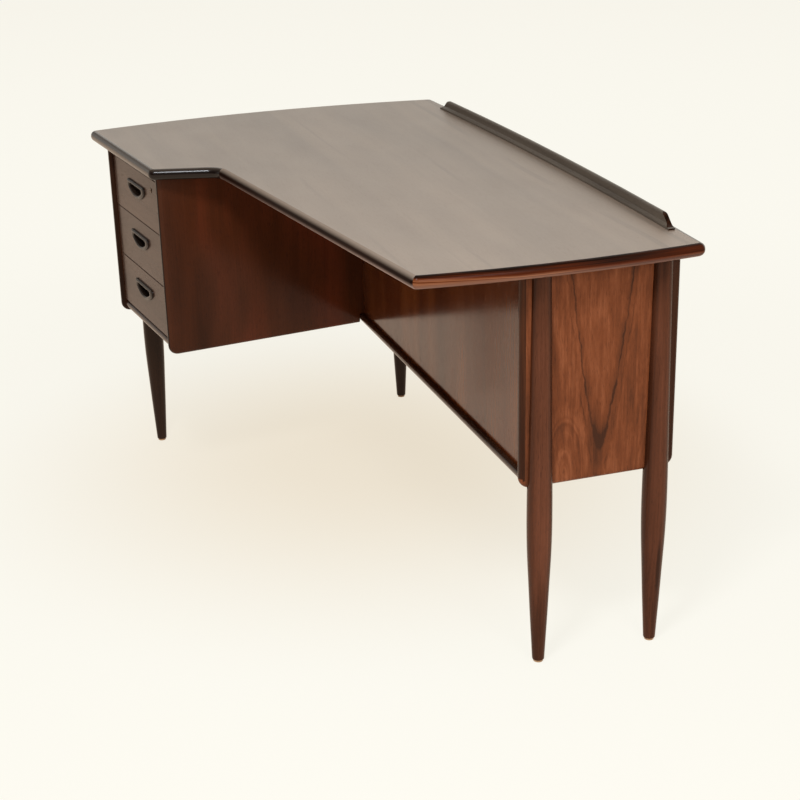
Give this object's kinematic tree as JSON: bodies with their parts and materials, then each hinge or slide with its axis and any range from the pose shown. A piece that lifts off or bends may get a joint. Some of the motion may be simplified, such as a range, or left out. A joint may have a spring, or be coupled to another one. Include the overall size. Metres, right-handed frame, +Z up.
{
  "type": "writing desk with drawers",
  "caption": "Mid-century rosewood writing desk with an angled wing-shaped top, a drawer pedestal on the left, a raised back lip, turned legs and an open bookcase behind.",
  "frame": {"origin": "middle of the overall box at floor level", "axes": "+Z up, +Y from the sitter towards the back edge, +X to the right of the sitter, along the back edge"},
  "size_m": [1.3518, 0.8054, 0.743],
  "materials": {
    "rosewood_top": "satin lacquered rosewood veneer",
    "rosewood_panel": "satin lacquered rosewood veneer",
    "rosewood_leg": "satin lacquered solid rosewood",
    "rosewood_front": "satin lacquered rosewood veneer",
    "drawer_lining": "matt beech",
    "pull_wood": "satin solid rosewood, dark",
    "glide_plastic": "tan plastic",
    "brass": "aged brass"
  },
  "bodies": {
    "desk_frame": {"pedestal_inner_panel": "rosewood_panel", "pedestal_floor": "rosewood_panel", "pedestal_top_rail": "rosewood_panel", "runner_1_right": "drawer_lining", "runner_1_left": "drawer_lining", "runner_2_right": "drawer_lining", "runner_2_left": "drawer_lining", "runner_3_right": "drawer_lining", "runner_3_left": "drawer_lining", "left_end_panel": "rosewood_panel", "leg_front_left": "rosewood_leg", "glide_front_left": "glide_plastic", "leg_back_left": "rosewood_leg", "glide_back_left": "glide_plastic", "desktop": "rosewood_top", "back_lip": "rosewood_top", "right_end_panel": "rosewood_panel", "leg_front_right": "rosewood_leg", "glide_front_right": "glide_plastic", "leg_back_right": "rosewood_leg", "glide_back_right": "glide_plastic", "case_floor": "rosewood_panel", "knee_panel": "rosewood_panel", "cupboard_divider": "rosewood_panel", "shelf_divider": "rosewood_panel", "shelf_middle": "rosewood_panel", "shelf_right": "rosewood_panel"},
    "drawer_1": {"drawer_1_lock": "brass", "drawer_1_front": "rosewood_front", "drawer_1_pull": "pull_wood", "drawer_1_side_left": "drawer_lining", "drawer_1_side_right": "drawer_lining", "drawer_1_back": "drawer_lining", "drawer_1_bottom": "drawer_lining"},
    "drawer_2": {"drawer_2_front": "rosewood_front", "drawer_2_pull": "pull_wood", "drawer_2_side_left": "drawer_lining", "drawer_2_side_right": "drawer_lining", "drawer_2_back": "drawer_lining", "drawer_2_bottom": "drawer_lining"},
    "drawer_3": {"drawer_3_front": "rosewood_front", "drawer_3_pull": "pull_wood", "drawer_3_side_left": "drawer_lining", "drawer_3_side_right": "drawer_lining", "drawer_3_back": "drawer_lining", "drawer_3_bottom": "drawer_lining"},
    "door": {"door": "rosewood_panel", "door_pull": "pull_wood", "door_lock": "brass", "door_hinge_low": "brass", "door_hinge_high": "brass"}
  },
  "joints": [
    {"name": "drawer_1_slide", "type": "slide", "parent": "desk_frame", "child": "drawer_1", "axis": [0.1253, -0.9921, 0], "range_m": [0, 0.3]},
    {"name": "drawer_2_slide", "type": "slide", "parent": "desk_frame", "child": "drawer_2", "axis": [0.1253, -0.9921, 0], "range_m": [0, 0.3]},
    {"name": "drawer_3_slide", "type": "slide", "parent": "desk_frame", "child": "drawer_3", "axis": [0.1253, -0.9921, 0], "range_m": [0, 0.3]},
    {"name": "door_hinge", "type": "hinge", "parent": "desk_frame", "child": "door", "pos_m": [-0.61544, 0.35671, 0.5225], "axis": [0, 0, 1], "range_deg": [0, 100]}
  ]
}
